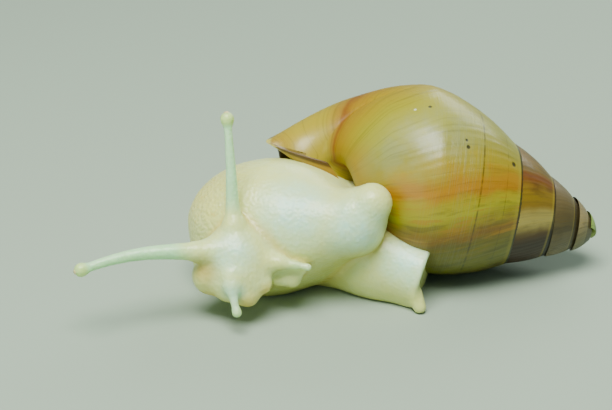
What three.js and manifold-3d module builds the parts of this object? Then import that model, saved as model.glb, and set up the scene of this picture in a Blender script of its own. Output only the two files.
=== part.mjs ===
// A giant African land snail (Lissachatina fulica), pale-bodied, about six whorls old, life size.
// The snail leans out of a shell that lies tipped on its flank, with the head turned back to one side.
// Millimetres, +Z up. X runs along the shell with the apex at +X, the head faces -Y, the floor is Z = 0.
// The flesh is one smooth field, polygonised once per region and parted by thin plane cuts.

import * as THREE from 'three';
import { mergeVertices } from 'three/addons/utils/BufferGeometryUtils.js';
import Module from 'manifold-3d';

const wasm = await Module();
wasm.setup();

const v = (x, y, z) => new THREE.Vector3(x, y, z);
const X_AXIS = v(1, 0, 0);
const Z_AXIS = v(0, 0, 1);

// ---------------------------------------------------------------- driving dimensions

const GAP = 0.3;                    // clearance between two pieces that touch
const WELD = 0.0002;                // corners closer than this are one
const FLOOR_SIZE = 200;             // side of the block that planes the underside flat

// Shell: a spiral that winds about an axis from the apex to the base of the columella.
const SHELL_APEX = v(52.2, 0.5, 6.4);
const SHELL_BASE = v(-6.2, 2.4, 23.1);
const TURNS_AT_LIP = 4.93;          // whorl turns from the start of the spiral to the present lip
const TURNS_AT_REST_LINE = 4.6;     // an earlier lip, kept as a growth line
const TURNS_AT_START = 0.4;
const TURNS_WHEN_YOUNG = 3.4;       // earlier whorls keep one proportion to the next
const TURNS_REF = 4.55;             // the turn at which the next five sizes are measured
const SUTURE_ALONG = 17.1;          // suture, distance from the apex along the axis
const SUTURE_RADIUS = 9.9;
const WIDEST_RADIUS = 16.9;
const SUTURE_ALONG_POWER = 2.25;
const SUTURE_RADIUS_POWER = 1.8;
const WIDEST_RADIUS_POWER = 1.4;
const WHORL_STRETCH = 3.5;          // whorl height in units of the suture's next step
const LIP_STRETCH = 4.18;           // the same at the present lip
const WIDEST_AT = 0.53;             // fraction of the whorl's height at which it is widest
const WALL_FULLNESS = 2.0;          // how squarely the wall comes in to the front end
const LIP_FULLNESS = 3.0;           // the same at the present lip
const LIP_LEAN = 0.09;              // turns by which the lip's front end lags behind
const LEAN_FROM = 0.75;             // fraction of the whorl where it starts to lag
const NUCLEUS_ALONG = 2.0;
const NUCLEUS_RADIUS = 1.15;
const BASAL_FOLD_RADIUS = 4.9;      // how far the front of the whorl wraps past the axis
const BASAL_FOLD_LENGTH = 11;
const BASAL_FOLD_FROM = 4.35;       // turn at which the wrap starts to grow
const CORE_HOLE = 0.5;              // whorl sections stop this far short of the axis
const CORE_RADIUS = 0.7;            // rod that closes the hole along the axis
const BASAL_CORE = 0.43;
const CORE_START = 1;               // the last whorl's rod starts this far past its suture
const CORE_SHORT = 2;               // and stops this far short of its front end
const CORE_TAIL = 4;                // the spire's rod runs on this far into the last whorl
const COLUMELLA_THICKENING = 0.5;   // the columella bared in the aperture is that much thicker
const SECTION_LIP = 0.05;           // narrowest step left at the front end of a section
const LIP_WALL = 1.0;
const TURNS_PER_CLEARANCE = 0.02;   // turn of the spiral that gives 1 mm at mid radius
const RECESS_TURNS = 0.09;          // how far the flesh is let into the aperture
const COLLAR_TURNS = 0.035;         // how far behind the lip the mantle closes the aperture
const OVERRUN_TURNS = 0.02;         // cutters run on this far past the lip
const STEPS_PER_TURN = 20;
const SPIRE_STEPS_PER_TURN = 16;
const PROFILE_STEPS = 12;
const BASAL_STEPS = 5;

// ---------------------------------------------------------------- solids from meshes

function toSolid(geometry) {
  const plain = geometry.clone();
  plain.deleteAttribute('normal');
  plain.deleteAttribute('uv');
  const merged = mergeVertices(plain, 1e-5);
  return new wasm.Manifold(new wasm.Mesh({
    numProp: 3,
    vertProperties: new Float32Array(merged.attributes.position.array),
    triVerts: new Uint32Array(merged.index.array),
  }));
}

// Welds corners closer than a hair, and drops the flat slivers and the doubled faces that this leaves.
function toGeometry(solid) {
  const mesh = solid.getMesh();
  const loose = new THREE.BufferGeometry();
  loose.setAttribute('position', new THREE.BufferAttribute(mesh.vertProperties, 3));
  loose.setIndex(new THREE.BufferAttribute(mesh.triVerts, 1));
  const geometry = mergeVertices(loose, WELD);
  const index = geometry.index.array;
  const faces = new Map();
  for (let i = 0; i < index.length; i += 3) {
    const face = Array.from(index.slice(i, i + 3));
    if (new Set(face).size < 3) continue;
    const key = [...face].sort((a, b) => a - b).join();
    if (faces.has(key)) faces.delete(key);
    else faces.set(key, face);
  }
  geometry.setIndex([...faces.values()].flat());
  return geometry;
}

function indexedGeometry(points, triangles) {
  const geometry = new THREE.BufferGeometry();
  const coordinates = points.flatMap((point) => point.toArray());
  geometry.setAttribute('position', new THREE.Float32BufferAttribute(coordinates, 3));
  geometry.setIndex(triangles);
  return geometry;
}

function ball(centre, radii, widthSegments, heightSegments) {
  const sphere = new THREE.SphereGeometry(1, widthSegments, heightSegments);
  sphere.scale(radii.x, radii.y, radii.z);
  sphere.translate(centre.x, centre.y, centre.z);
  return toSolid(sphere);
}

function evenBall(centre, radius, segments) {
  return ball(centre, v(radius, radius, radius), segments, segments / 2);
}

// A block whose one face passes through a point and whose body lies on the side of the normal.
function halfSpace(point, normal, offset = 0) {
  const block = new THREE.BoxGeometry(FLOOR_SIZE, FLOOR_SIZE, FLOOR_SIZE);
  const direction = normal.clone().normalize();
  const turn = new THREE.Quaternion().setFromUnitVectors(Z_AXIS, direction);
  block.translate(0, 0, FLOOR_SIZE / 2 + offset);
  block.applyQuaternion(turn);
  block.translate(point.x, point.y, point.z);
  return toSolid(block);
}

// ---------------------------------------------------------------- shell

const axisDirection = SHELL_BASE.clone().sub(SHELL_APEX).normalize();
const radialUp = Z_AXIS.clone().projectOnPlane(axisDirection).normalize();
const radialFar = new THREE.Vector3().crossVectors(axisDirection, radialUp);

function shellPoint(along, radius, turn) {
  const angle = (turn - TURNS_REF) * 2 * Math.PI;
  return SHELL_APEX.clone()
    .addScaledVector(axisDirection, along)
    .addScaledVector(radialUp, radius * Math.cos(angle))
    .addScaledVector(radialFar, radius * Math.sin(angle));
}

// Growth reached at one turn, 1 at TURNS_REF: young whorls each grow by an equal share.
function sizeAt(turn) {
  if (turn >= TURNS_WHEN_YOUNG) return turn / TURNS_REF;
  return TURNS_WHEN_YOUNG * Math.exp(turn / TURNS_WHEN_YOUNG - 1) / TURNS_REF;
}

const sutureAlong = (turn) => SUTURE_ALONG * sizeAt(turn) ** SUTURE_ALONG_POWER;
const sutureRadius = (turn) => SUTURE_RADIUS * sizeAt(turn) ** SUTURE_RADIUS_POWER;
const widestRadius = (turn) => WIDEST_RADIUS * sizeAt(turn) ** WIDEST_RADIUS_POWER;

const flare = (turn) => THREE.MathUtils.clamp(
  (turn - TURNS_AT_REST_LINE) / (TURNS_AT_LIP - TURNS_AT_REST_LINE), 0, 1);

function whorlHeight(turn) {
  const stretch = THREE.MathUtils.lerp(WHORL_STRETCH, LIP_STRETCH, flare(turn) ** 0.7);
  return stretch * (sutureAlong(turn + 1) - sutureAlong(turn));
}

const noseAlong = (turn) => sutureAlong(turn) + whorlHeight(turn);

// Outer wall of the whorl at one turn: fraction 0 is the suture, 1 is the front end on the axis.
function wallRadius(turn, fraction) {
  const widest = widestRadius(turn);
  if (fraction < WIDEST_AT) {
    const rise = ((WIDEST_AT - fraction) / WIDEST_AT) ** 1.8;
    return widest - (widest - sutureRadius(turn)) * rise;
  }
  const fall = (fraction - WIDEST_AT) / (1 - WIDEST_AT);
  const fullness = THREE.MathUtils.lerp(WALL_FULLNESS, LIP_FULLNESS, flare(turn));
  return widest * (1 - fall ** 1.4) ** (1 / fullness);
}

// The front end of the whorl lags behind the rest of it near the lip.
function leaning(turn, fraction) {
  const nearLip = THREE.MathUtils.smoothstep(turn, TURNS_AT_REST_LINE, TURNS_AT_LIP);
  return turn - LIP_LEAN * THREE.MathUtils.smoothstep(fraction, LEAN_FROM, 1) * nearLip;
}

// Closed outline of the whorl in the half-plane of one turn, inset by a wall or grown by a clearance.
function whorlSection(turn, inset) {
  const points = [shellPoint(sutureAlong(turn) + inset, CORE_HOLE, turn)];
  for (let i = 0; i <= PROFILE_STEPS; i++) {
    const fraction = Math.sin((i / PROFILE_STEPS) * Math.PI / 2);
    const narrowest = CORE_HOLE + (i < PROFILE_STEPS ? SECTION_LIP : 0);
    const place = leaning(turn, fraction);
    const along = sutureAlong(place) + inset + (whorlHeight(place) - 2 * inset) * fraction;
    const radius = Math.max(wallRadius(place, fraction) - inset, narrowest);
    points.push(shellPoint(along, radius, place));
  }
  return points;
}

// The front end of the whorl carries on past the axis as a quarter of an ellipse.
function basalSection(turn, inset) {
  const place = leaning(turn, 1);
  const grown = THREE.MathUtils.smoothstep(place, BASAL_FOLD_FROM, TURNS_AT_REST_LINE);
  const reach = Math.max(BASAL_FOLD_RADIUS * grown - inset, BASAL_CORE + 2 * SECTION_LIP);
  const back = noseAlong(place) - BASAL_FOLD_LENGTH + inset;
  const length = BASAL_FOLD_LENGTH - 2 * inset;
  const points = [shellPoint(back, BASAL_CORE, place + 0.5)];
  for (let i = 0; i <= BASAL_STEPS; i++) {
    const angle = (i / BASAL_STEPS) * Math.PI / 2;
    const radius = Math.max(reach * Math.cos(angle), BASAL_CORE);
    points.push(shellPoint(back + length * Math.sin(angle), radius, place + 0.5));
  }
  return points;
}

function sweep(sectionAt, from, to, inset, stepsPerTurn = STEPS_PER_TURN) {
  const steps = Math.max(2, Math.round((to - from) * stepsPerTurn));
  const points = [];
  const triangles = [];
  let count = 0;
  for (let i = 0; i <= steps; i++) {
    const section = sectionAt(from + (to - from) * i / steps, inset);
    count = section.length;
    points.push(...section);
  }
  for (let i = 0; i < steps; i++) {
    for (let j = 0; j < count; j++) {
      const a = i * count + j;
      const b = i * count + (j + 1) % count;
      triangles.push(a, b + count, b, a, a + count, b + count);
    }
  }
  const last = steps * count;
  for (let j = 1; j < count - 1; j++) {
    triangles.push(0, j, j + 1);
    triangles.push(last, last + j + 1, last + j);
  }
  return toSolid(indexedGeometry(points, triangles));
}

function coreRod(from, to, grow) {
  const radius = CORE_RADIUS + grow;
  const rod = new THREE.CylinderGeometry(radius, radius, to - from, 11);
  rod.applyQuaternion(new THREE.Quaternion().setFromUnitVectors(v(0, 1, 0), axisDirection));
  const middle = SHELL_APEX.clone().addScaledVector(axisDirection, (from + to) / 2);
  rod.translate(middle.x, middle.y, middle.z);
  return toSolid(rod);
}

function nucleus() {
  const centre = SHELL_APEX.clone().addScaledVector(axisDirection, NUCLEUS_ALONG);
  return ball(centre, v(NUCLEUS_RADIUS, NUCLEUS_RADIUS, NUCLEUS_RADIUS), 18, 12);
}

function sweepUnion(from, to, inset) {
  let solid = null;
  for (let turn = from; turn < to - 1e-6; turn += 0.5) {
    const end = Math.min(turn + 0.5, to);
    const piece = sweep(whorlSection, turn, end, inset, SPIRE_STEPS_PER_TURN);
    solid = solid ? solid.add(piece) : piece;
  }
  return solid;
}

// The last whorl with its aperture let in; grow swells it on every side by a clearance.
function bodyWhorl(grow) {
  const first = TURNS_AT_LIP - 1;
  const half = TURNS_AT_LIP - 0.5;
  const lip = TURNS_AT_LIP + grow * TURNS_PER_CLEARANCE;
  const recessFrom = TURNS_AT_LIP - RECESS_TURNS + grow * TURNS_PER_CLEARANCE;
  const columella = coreRod(sutureAlong(first), noseAlong(TURNS_AT_LIP), grow + COLUMELLA_THICKENING);
  const recess = sweep(whorlSection, recessFrom, TURNS_AT_LIP + OVERRUN_TURNS, LIP_WALL + grow)
    .subtract(sweep(whorlSection, first - 0.5, first, -grow))
    .subtract(columella);
  const whorl = sweep(whorlSection, half, lip, -grow)
    .subtract(recess)
    .add(sweep(whorlSection, first, half, -grow))
    .add(sweep(basalSection, BASAL_FOLD_FROM, lip, -grow))
    .add(coreRod(sutureAlong(first) + CORE_START, noseAlong(half) - CORE_SHORT, grow));
  return largestOf(whorl);
}

function spire() {
  return sweepUnion(TURNS_AT_START, TURNS_AT_LIP - 1, 0)
    .add(nucleus())
    .add(coreRod(NUCLEUS_ALONG, sutureAlong(TURNS_AT_LIP) + CORE_TAIL, 0))
    .subtract(bodyWhorl(GAP));
}

// ---------------------------------------------------------------- flesh as a smooth field

// Signed distance to an ellipsoid, good near its surface.
function ellipsoid(centre, radii) {
  return (p) => {
    const q = p.clone().sub(centre).divide(radii);
    const scale = q.length();
    return scale * (scale - 1) / Math.max(q.divide(radii).length(), 1e-6);
  };
}

// A ball that changes its radius while it moves from one point to another.
function roundCone(from, to, fromRadius, toRadius) {
  const along = to.clone().sub(from);
  const lengthSquared = along.lengthSq();
  return (p) => {
    const offset = p.clone().sub(from);
    const share = THREE.MathUtils.clamp(offset.dot(along) / lengthSquared, 0, 1);
    const distance = offset.addScaledVector(along, -share).length();
    return distance - THREE.MathUtils.lerp(fromRadius, toRadius, share);
  };
}

function blendMin(a, b, reach) {
  const overlap = Math.max(reach - Math.abs(a - b), 0) / reach;
  return Math.min(a, b) - overlap * overlap * reach / 4;
}

const blendMax = (a, b, reach) => -blendMin(-a, -b, reach);

function blendAll(fields, reach) {
  return (p) => fields.reduce((sum, field) => blendMin(sum, field(p), reach), 1e3);
}

// Polygonises a field by surface nets: one vertex in each cell that the surface crosses.
function surfaceNet(field, low, high, cell) {
  const size = high.clone().sub(low).divideScalar(cell).ceil();
  const [nx, ny, nz] = [size.x + 1, size.y + 1, size.z + 1];
  const cornerIndex = (i, j, k) => (k * ny + j) * nx + i;
  const values = new Float32Array(nx * ny * nz);
  const at = new THREE.Vector3();
  for (let k = 0; k < nz; k++) {
    for (let j = 0; j < ny; j++) {
      for (let i = 0; i < nx; i++) {
        at.set(low.x + i * cell, low.y + j * cell, low.z + k * cell);
        values[cornerIndex(i, j, k)] = field(at);
      }
    }
  }
  const points = [];
  const cellVertex = new Int32Array(nx * ny * nz).fill(-1);
  for (let k = 0; k < nz - 1; k++) {
    for (let j = 0; j < ny - 1; j++) {
      for (let i = 0; i < nx - 1; i++) {
        const vertex = crossingCentre(values, cornerIndex, i, j, k);
        if (vertex) {
          cellVertex[cornerIndex(i, j, k)] = points.length;
          points.push(settle(field, vertex.multiplyScalar(cell).add(low), cell));
        }
      }
    }
  }
  const triangles = [];
  const steps = [[1, 0, 0], [0, 1, 0], [0, 0, 1]];
  for (let k = 1; k < nz - 1; k++) {
    for (let j = 1; j < ny - 1; j++) {
      for (let i = 1; i < nx - 1; i++) {
        for (let axis = 0; axis < 3; axis++) {
          const [di, dj, dk] = steps[axis];
          const here = values[cornerIndex(i, j, k)] < 0;
          const there = values[cornerIndex(i + di, j + dj, k + dk)] < 0;
          if (here === there) continue;
          const [ui, uj, uk] = steps[(axis + 1) % 3];
          const [wi, wj, wk] = steps[(axis + 2) % 3];
          const a = cellVertex[cornerIndex(i, j, k)];
          const b = cellVertex[cornerIndex(i - ui, j - uj, k - uk)];
          const c = cellVertex[cornerIndex(i - ui - wi, j - uj - wj, k - uk - wk)];
          const d = cellVertex[cornerIndex(i - wi, j - wj, k - wk)];
          if (here) triangles.push(a, b, c, a, c, d);
          else triangles.push(a, c, b, a, d, c);
        }
      }
    }
  }
  return toSolid(indexedGeometry(points, triangles));
}

// Mean of the points where the surface crosses the edges of one cell, in cell units, or null.
function crossingCentre(values, cornerIndex, i, j, k) {
  const sum = new THREE.Vector3();
  let crossings = 0;
  for (const [a, b] of CELL_EDGES) {
    const va = values[cornerIndex(i + a[0], j + a[1], k + a[2])];
    const vb = values[cornerIndex(i + b[0], j + b[1], k + b[2])];
    if ((va < 0) === (vb < 0)) continue;
    const share = va / (va - vb);
    sum.x += a[0] + (b[0] - a[0]) * share;
    sum.y += a[1] + (b[1] - a[1]) * share;
    sum.z += a[2] + (b[2] - a[2]) * share;
    crossings += 1;
  }
  return crossings ? sum.divideScalar(crossings).add(v(i, j, k)) : null;
}

// Moves a vertex onto the surface along the field's slope, by less than half a cell.
function settle(field, point, cell) {
  const step = cell * 0.05;
  const value = field(point);
  const slope = v(
    field(point.clone().add(v(step, 0, 0))) - value,
    field(point.clone().add(v(0, step, 0))) - value,
    field(point.clone().add(v(0, 0, step))) - value,
  ).divideScalar(step);
  const shift = THREE.MathUtils.clamp(-value / Math.max(slope.lengthSq(), 0.2), -cell * 0.4, cell * 0.4);
  return point.addScaledVector(slope, shift);
}

const CELL_EDGES = (() => {
  const edges = [];
  for (let corner = 0; corner < 8; corner++) {
    for (const bit of [1, 2, 4]) {
      if (corner & bit) continue;
      const other = corner | bit;
      edges.push([corner, other].map((n) => [n & 1, (n >> 1) & 1, (n >> 2) & 1]));
    }
  }
  return edges;
})();

// ---------------------------------------------------------------- the body's masses

const HEAD_CENTRE = v(-11.2, -14.8, 9.8);

const neckField = blendAll([
  ellipsoid(v(-5.2, -4.0, 11.0), v(15.2, 11.5, 11.0)),
  ellipsoid(v(-8.4, -5.6, 5.2), v(11.2, 8.0, 6.8)),
], 3);

const lobeField = blendAll([
  roundCone(v(-1.5, -8.5, 12.0), v(7.6, -11.2, 14.3), 7.8, 5.7),
  roundCone(v(8.0, -11.0, 14.5), v(11.0, -12.2, 18.4), 5.0, 3.4),
  ellipsoid(v(6.5, -0.5, 7.5), v(14.0, 10.5, 8.5)),
], 2);

const TAIL_RIM = v(20.0, -14.3, 4.2);
const TAIL_END_NORMAL = v(0.958, -0.185, -0.217);
const TAIL_HOLLOW_RADIUS = 34;
const TAIL_HOLLOW_DEPTH = 0.9;
const tailHollowCentre = TAIL_RIM.clone()
  .addScaledVector(TAIL_END_NORMAL, TAIL_HOLLOW_RADIUS - TAIL_HOLLOW_DEPTH);

const tailMass = blendAll([
  roundCone(v(4.0, -4.5, 3.5), v(12.0, -7.5, 4.5), 4.5, 5.5),
  roundCone(v(12.0, -7.5, 4.5), v(20.5, -11.2, 3.6), 5.5, 6.0),
  roundCone(v(12.0, -8.0, 8.2), v(21.2, -12.4, 5.0), 4.0, 3.1),
], 3);

const tailFlap = roundCone(v(18.4, -15.0, 3.0), v(19.2, -16.4, 1.0), 1.3, 1.1);

function tailField(p) {
  const hollow = TAIL_HOLLOW_RADIUS - p.distanceTo(tailHollowCentre);
  return blendMin(blendMax(tailMass(p), hollow, 0.8), tailFlap(p), 0.8);
}

const faceField = blendAll([
  roundCone(v(-8.0, -8.0, 9.0), HEAD_CENTRE, 7.5, 5.2),
  roundCone(HEAD_CENTRE, v(-10.6, -18.2, 7.6), 4.8, 3.5),
  roundCone(v(-13.5, -15.5, 8.6), v(-15.7, -17.2, 7.5), 4.4, 3.3),
  roundCone(v(-12.5, -17.5, 7.5), v(-12.6, -19.4, 6.2), 3.0, 2.2),
  roundCone(v(-10.0, -18.6, 6.8), v(-9.5, -20.5, 5.2), 2.4, 1.6),
  roundCone(v(-8.0, -18.0, 7.4), v(-6.9, -19.2, 6.8), 1.9, 1.2),
], 2.0);

const tentacleRoots = blendAll([
  roundCone(v(-11.6, -14.6, 11.0), v(-12.0, -14.9, 15.6), 3.4, 1.75),
  roundCone(v(-12.6, -16.0, 11.4), v(-17.8, -18.2, 12.4), 3.3, 1.55),
  roundCone(v(-11.6, -17.8, 10.0), v(-12.2, -21.7, 8.1), 2.9, 1.0),
  roundCone(v(-8.8, -16.2, 9.8), v(-4.6, -17.6, 10.1), 2.8, 1.15),
], 1.4);

const palpFlap = blendAll([
  roundCone(v(-4.8, -16.2, 6.6), v(-2.3, -16.4, 6.35), 1.5, 1.4),
  roundCone(v(-2.4, -16.4, 6.8), v(-0.1, -17.0, 8.8), 1.5, 0.55),
  roundCone(v(-5.0, -16.0, 8.4), v(-1.8, -16.4, 8.7), 1.4, 1.0),
], 0.8);

const headField = (p) => blendMin(blendMin(faceField(p), tentacleRoots(p), 2.2), palpFlap(p), 0.5);

const fleshField = (p) => blendMin(
  blendMin(blendMin(neckField(p), lobeField(p), 3), headField(p), 1.2), tailField(p), 0.7);

// ---------------------------------------------------------------- tentacles

// Each tentacle runs through its points, root first, with a radius at each point.
const UPPER_LEFT = {
  points: [
    v(-11.9, -15.0, 15.2),
    v(-12.2, -13.4, 19.5),
    v(-12.4, -11.8, 24.2),
    v(-12.7, -10.3, 28.6),
    v(-13.0, -8.9, 32.2),
  ],
  radii: [1.6, 1.08, 0.85, 0.7, 0.66],
  bulb: 1.12,
};
const UPPER_RIGHT = {
  points: [
    v(-17.2, -18.0, 12.3),
    v(-22.0, -19.2, 12.9),
    v(-27.1, -20.5, 13.1),
    v(-31.8, -22.4, 12.9),
    v(-36.3, -24.4, 12.2),
  ],
  radii: [1.6, 1.3, 1.06, 0.85, 0.72],
  bulb: 1.1,
};
const LOWER_LEFT = {
  points: [v(-4.6, -17.6, 10.1), v(-2.2, -18.0, 9.9), v(0.3, -18.4, 9.6)],
  radii: [1.1, 0.78, 0.42],
  bulb: 0.42,
};
const LOWER_RIGHT = {
  points: [v(-12.3, -21.6, 8.2), v(-11.9, -22.9, 6.2), v(-11.3, -24.1, 4.2)],
  radii: [0.95, 0.7, 0.56],
  bulb: 0.66,
};
const EYE_RADIUS = 0.6;
const EYE_PROUD = 0.2;              // how far the eye stands out of the bulb
const STUMP_CUT_MARGIN = 0.5;
const STUMP_CUT_LENGTH = 2.5;

function taperedTube(curve, radii, sides, rings) {
  const frames = curve.computeFrenetFrames(rings, false);
  const points = [];
  const triangles = [];
  for (let i = 0; i <= rings; i++) {
    const share = i / rings;
    const slot = Math.min(Math.floor(share * (radii.length - 1)), radii.length - 2);
    const radius = THREE.MathUtils.lerp(radii[slot], radii[slot + 1], share * (radii.length - 1) - slot);
    const centre = curve.getPoint(share);
    for (let j = 0; j < sides; j++) {
      const angle = (j / sides) * 2 * Math.PI;
      points.push(centre.clone()
        .addScaledVector(frames.normals[i], radius * Math.cos(angle))
        .addScaledVector(frames.binormals[i], radius * Math.sin(angle)));
    }
  }
  for (let i = 0; i < rings; i++) {
    for (let j = 0; j < sides; j++) {
      const a = i * sides + j;
      const b = i * sides + (j + 1) % sides;
      triangles.push(a, b, b + sides, a, b + sides, a + sides);
    }
  }
  const last = rings * sides;
  for (let j = 1; j < sides - 1; j++) {
    triangles.push(0, j + 1, j);
    triangles.push(last, last + j, last + j + 1);
  }
  return toSolid(indexedGeometry(points, triangles));
}

function tentacleBody({ points, radii, bulb }, sides, rings) {
  const curve = new THREE.CatmullRomCurve3(points);
  return taperedTube(curve, radii, sides, rings).add(evenBall(points.at(-1), bulb, 8));
}

// Trims the head's stump flat where a tentacle begins.
function stumpCutter({ points, radii, bulb }) {
  const outward = points[1].clone().sub(points[0]).normalize();
  const from = points[0].clone().addScaledVector(outward, -GAP);
  const to = points[0].clone().addScaledVector(outward, STUMP_CUT_LENGTH);
  const wide = radii[0] + STUMP_CUT_MARGIN;
  const grown = { points, radii: radii.map((radius) => radius + GAP), bulb: bulb + GAP };
  return taperedTube(new THREE.LineCurve3(from, to), [wide, wide], 12, 1).add(tentacleBody(grown, 8, 6));
}

// ---------------------------------------------------------------- assembly

const root = new THREE.Group();

function addPiece(name, solid, look) {
  const material = new THREE.MeshStandardMaterial({ ...look, metalness: 0 });
  const mesh = new THREE.Mesh(toGeometry(solid), material);
  mesh.name = name;
  root.add(mesh);
}

// Parts a solid at a plane and leaves a gap there: the side the normal points to comes first.
function partAt(solid, point, normal) {
  const ahead = solid.intersect(halfSpace(point, normal, GAP / 2));
  const behind = solid.intersect(halfSpace(point, normal.clone().negate(), GAP / 2));
  return [ahead, behind];
}

function largestOf(solid) {
  const bodies = solid.decompose();
  return bodies.reduce((best, body) => (body.volume() > best.volume() ? body : best));
}

const FLESH = { color: 0xf1e6c6, roughness: 0.4 };
const SOLE = { color: 0xf1e6c6, roughness: 0.45 };
const TENTACLE = { color: 0xe9e6c0, roughness: 0.35 };
const EYE = { color: 0xb9a06a, roughness: 0.2 };
const SPIRE_SHELL = { color: 0x8a6a45, roughness: 0.4 };
const WHORL_SHELL = { color: 0xb98a35, roughness: 0.35 };

const HEAD_BALL_CENTRE = v(-10.0, -19.5, 9.0);
const HEAD_BALL_RADII = v(10.5, 9.5, 9.5);
const FLESH_LOW = v(-25.4, -30.4, -6.3);
const FLESH_HIGH = v(28, 16, 28);
const FLESH_CELL = 2.1;
const HEAD_MARGIN = 1;               // the head is polygonised this far past its parting ball
const HEAD_CELL = 1.3;

const floor = halfSpace(v(0, 0, 0), Z_AXIS);
const shellWithGap = bodyWhorl(GAP).add(sweepUnion(TURNS_AT_START + 1, TURNS_AT_LIP - 1, -GAP));
const upperTentacles = [UPPER_LEFT, UPPER_RIGHT];
const lowerTentacles = [LOWER_LEFT, LOWER_RIGHT];

const headBall = ball(HEAD_BALL_CENTRE, HEAD_BALL_RADII, 24, 14);
const headBallWithGap = ball(HEAD_BALL_CENTRE, HEAD_BALL_RADII.clone().addScalar(GAP), 24, 14);

const headReach = HEAD_BALL_RADII.clone().addScalar(HEAD_MARGIN);
const headReachField = ellipsoid(HEAD_BALL_CENTRE, headReach);
const headBox = headReach.clone().addScalar(2 * HEAD_CELL);
let head = surfaceNet(
  (p) => Math.max(fleshField(p), headReachField(p)),
  HEAD_BALL_CENTRE.clone().sub(headBox), HEAD_BALL_CENTRE.clone().add(headBox), HEAD_CELL,
).intersect(headBall);
let body = surfaceNet(fleshField, FLESH_LOW, FLESH_HIGH, FLESH_CELL)
  .intersect(floor)
  .subtract(shellWithGap)
  .subtract(headBallWithGap);
for (const tentacle of [...upperTentacles, ...lowerTentacles]) {
  head = head.subtract(stumpCutter(tentacle));
  body = body.subtract(stumpCutter(tentacle));
}

// The region inside the aperture and a little way past the lip.
function collarRegion(grow) {
  const from = TURNS_AT_LIP - RECESS_TURNS - OVERRUN_TURNS;
  const to = TURNS_AT_LIP + OVERRUN_TURNS + grow * TURNS_PER_CLEARANCE;
  return sweep(whorlSection, from, to, -grow);
}

// The collar of the mantle closes the rest of the aperture a little way behind the lip.
const collarDisc = sweep(whorlSection, TURNS_AT_LIP - RECESS_TURNS, TURNS_AT_LIP - COLLAR_TURNS, LIP_WALL)
  .intersect(floor)
  .subtract(shellWithGap);
const mantleCollar = body.intersect(collarRegion(0)).add(collarDisc);
const outerBody = body.subtract(collarRegion(GAP));

const TRUNK_END = 3;
const NECK_END = -6;
const SOLE_FRONT_END = -7;
const SOLE_HEIGHT = 2.6;
const TAIL_MIDDLE = 13;
const TAIL_PART = { point: v(8.0, -14.0, 8.1), normal: v(-0.33, 0, 0.94) };
const [rear, front] = partAt(outerBody, v(TRUNK_END, 0, 0), X_AXIS);
const [mantleFold, tail] = partAt(rear, TAIL_PART.point, TAIL_PART.normal);
const [tailTip, tailBase] = partAt(tail, v(TAIL_MIDDLE, 0, 0), X_AXIS);
const [upperFront, sole] = partAt(front, v(0, 0, SOLE_HEIGHT), Z_AXIS);
const [trunk, neck] = partAt(upperFront, v(NECK_END, 0, 0), X_AXIS);
const [soleMiddle, soleFront] = partAt(sole, v(SOLE_FRONT_END, 0, 0), X_AXIS);

addPiece('head', largestOf(head), FLESH);
addPiece('neck', largestOf(neck), FLESH);
addPiece('trunk', largestOf(trunk), FLESH);
addPiece('mantle_fold', largestOf(mantleFold), FLESH);
addPiece('mantle_collar', largestOf(mantleCollar), FLESH);
addPiece('foot_front', largestOf(soleFront), SOLE);
addPiece('foot_middle', largestOf(soleMiddle), SOLE);
addPiece('tail_base', largestOf(tailBase), SOLE);
addPiece('tail_tip', largestOf(tailTip), SOLE);

['left', 'right'].forEach((side, index) => {
  const upper = upperTentacles[index];
  const middle = upper.points[2];
  const direction = upper.points[3].clone().sub(upper.points[1]).normalize();
  const outward = upper.points.at(-1).clone().sub(upper.points.at(-2)).normalize();
  const eyeCentre = upper.points.at(-1).clone()
    .addScaledVector(outward, upper.bulb - EYE_RADIUS + EYE_PROUD);
  const [tip, base] = partAt(tentacleBody(upper, 8, 10), middle, direction);
  const eyeSocket = evenBall(eyeCentre, EYE_RADIUS + GAP, 8);
  addPiece(`tentacle_upper_${side}_base`, base, TENTACLE);
  addPiece(`tentacle_upper_${side}_tip`, tip.subtract(eyeSocket), TENTACLE);
  addPiece(`eye_${side}`, evenBall(eyeCentre, EYE_RADIUS, 8), EYE);
  addPiece(`tentacle_lower_${side}`, tentacleBody(lowerTentacles[index], 8, 4), TENTACLE);
});

addPiece('shell_spire', largestOf(spire()), SPIRE_SHELL);
addPiece('shell_body_whorl', largestOf(bodyWhorl(0).intersect(floor)), WHORL_SHELL);

// The origin is the middle of the underside.
const middle = new THREE.Box3().setFromObject(root).getCenter(new THREE.Vector3());
root.position.set(-middle.x, -middle.y, 0);

export default root;
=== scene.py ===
"""A giant African land snail, pale-bodied, leaning out of its shell with its head turned aside.

The looks of the still model: one wet skin over the whole body, the eyes at the ends of the upper
feelers, and the spiral shell. All shapes come from the same formulas and sizes as the solids.
The sizes below are millimetres in the snail's own drawing frame: X runs along the shell towards
its apex, the head faces -Y and the floor is Z = 0.
"""
import math
from types import SimpleNamespace

import bpy
import numpy as np
import openvdb
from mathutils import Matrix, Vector, noise


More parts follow.
